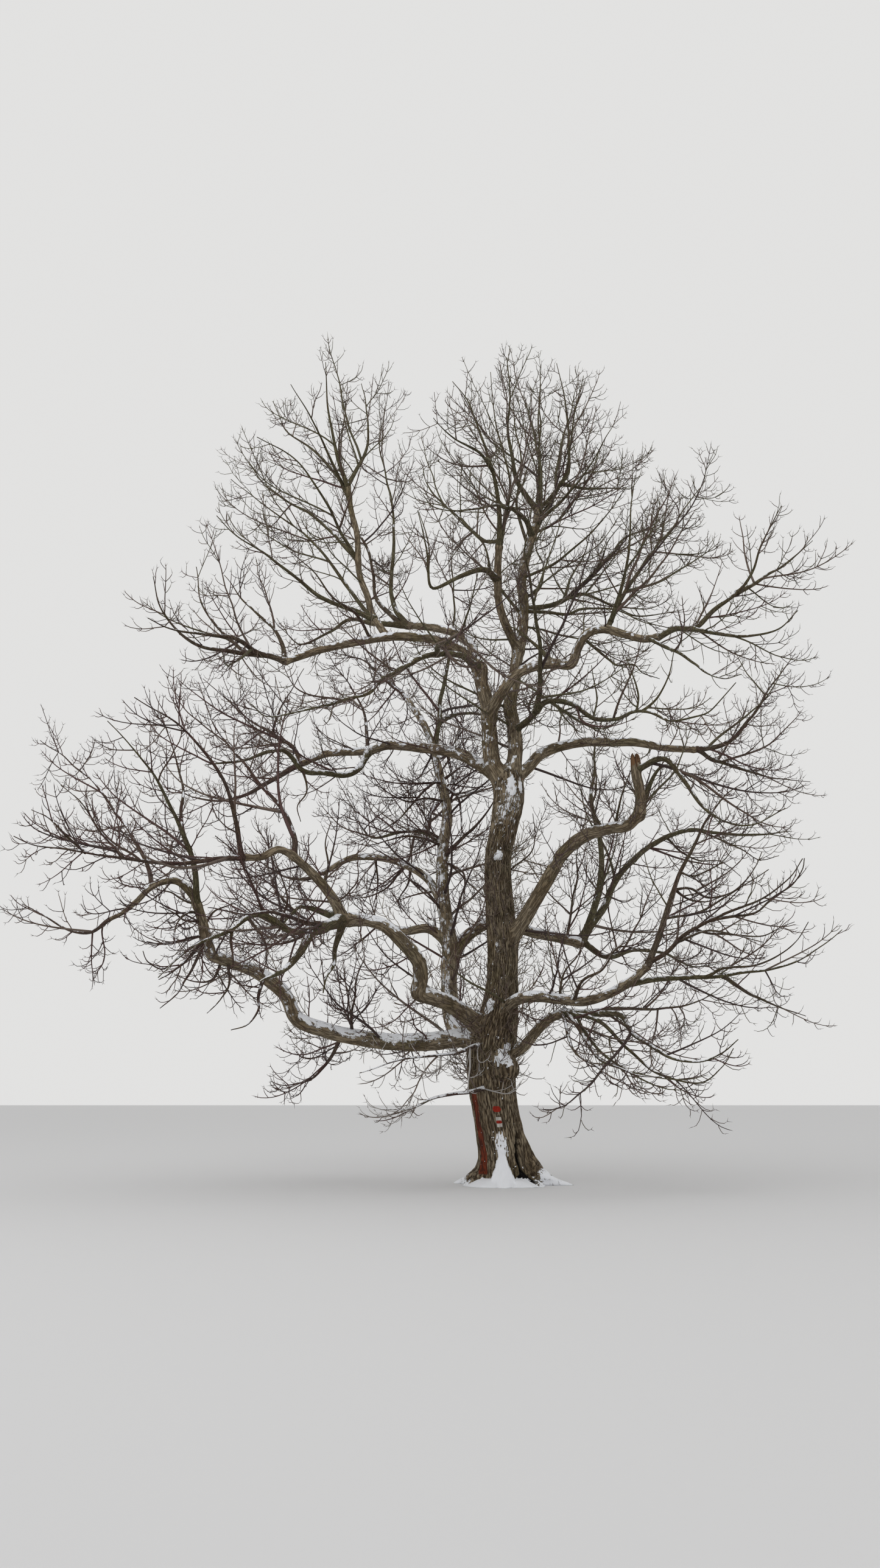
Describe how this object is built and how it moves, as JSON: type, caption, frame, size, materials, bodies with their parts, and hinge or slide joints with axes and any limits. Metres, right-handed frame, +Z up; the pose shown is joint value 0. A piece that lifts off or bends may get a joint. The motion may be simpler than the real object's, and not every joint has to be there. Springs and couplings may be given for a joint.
{
  "type": "bare broadleaf tree",
  "caption": "Bare broadleaf tree in winter: a short leaning trunk with a flared foot, crooked spreading boughs and a broad open crown of fine upswept twigs.",
  "frame": {"origin": "middle of the flat cut under the trunk, at ground level", "axes": "+Z up, +X to the viewer's right and +Y away from the viewer in the picture's view"},
  "size_m": [12.4594, 9.918, 13.5777],
  "materials": {
    "bark": "rough furrowed bark",
    "twigs": "dull smooth twig bark"
  },
  "bodies": {
    "root": {"trunk": "bark", "left_stem": "bark", "leader": "bark", "centre_left_limb": "bark", "high_right_bough": "bark", "high_left_bough": "bark", "upper_left_bough": "bark", "fan_limb": "bark", "middle_left_bough": "bark", "back_stem": "bark", "crossing_bough": "bark", "back_left_bough": "bark", "low_left_bough": "bark", "low_left_arch": "bark", "elbow_bough": "bark", "long_left_bough": "bark", "middle_left_arch": "bark", "arch_bough": "bark", "broken_stub": "bark", "fork_right_bough": "bark", "low_right_bough": "bark", "lowest_right_bough": "bark", "crown_top_left": "twigs", "crown_top": "twigs", "crown_top_right": "twigs", "crown_left_arm": "twigs", "crown_left_bend": "twigs", "crown_right_low": "twigs", "fan_top": "twigs", "fan_left_high": "twigs", "fan_left_mid": "twigs", "fan_left_low": "twigs", "fan_right": "twigs", "high_left_tip": "twigs", "crossing_limb": "twigs", "middle_left_tip": "twigs", "middle_left_spur": "twigs", "back_stem_tip": "twigs", "back_upright": "twigs", "back_stem_left": "twigs", "back_left_tip": "twigs", "middle_arch_tip": "twigs", "long_left_tip": "twigs", "long_left_inner": "twigs", "left_upright": "twigs", "arch_upright": "twigs", "arch_tip": "twigs", "elbow_drop": "twigs", "low_left_under": "twigs", "front_low": "twigs", "high_right_tip": "twigs", "high_right_fall": "twigs", "high_right_upright": "twigs", "fork_right_tip": "twigs", "upper_right": "twigs", "stub_branch": "twigs", "right_back": "twigs", "low_right_fan": "twigs", "low_right_tip": "twigs", "lowest_right": "twigs"}
  },
  "joints": []
}
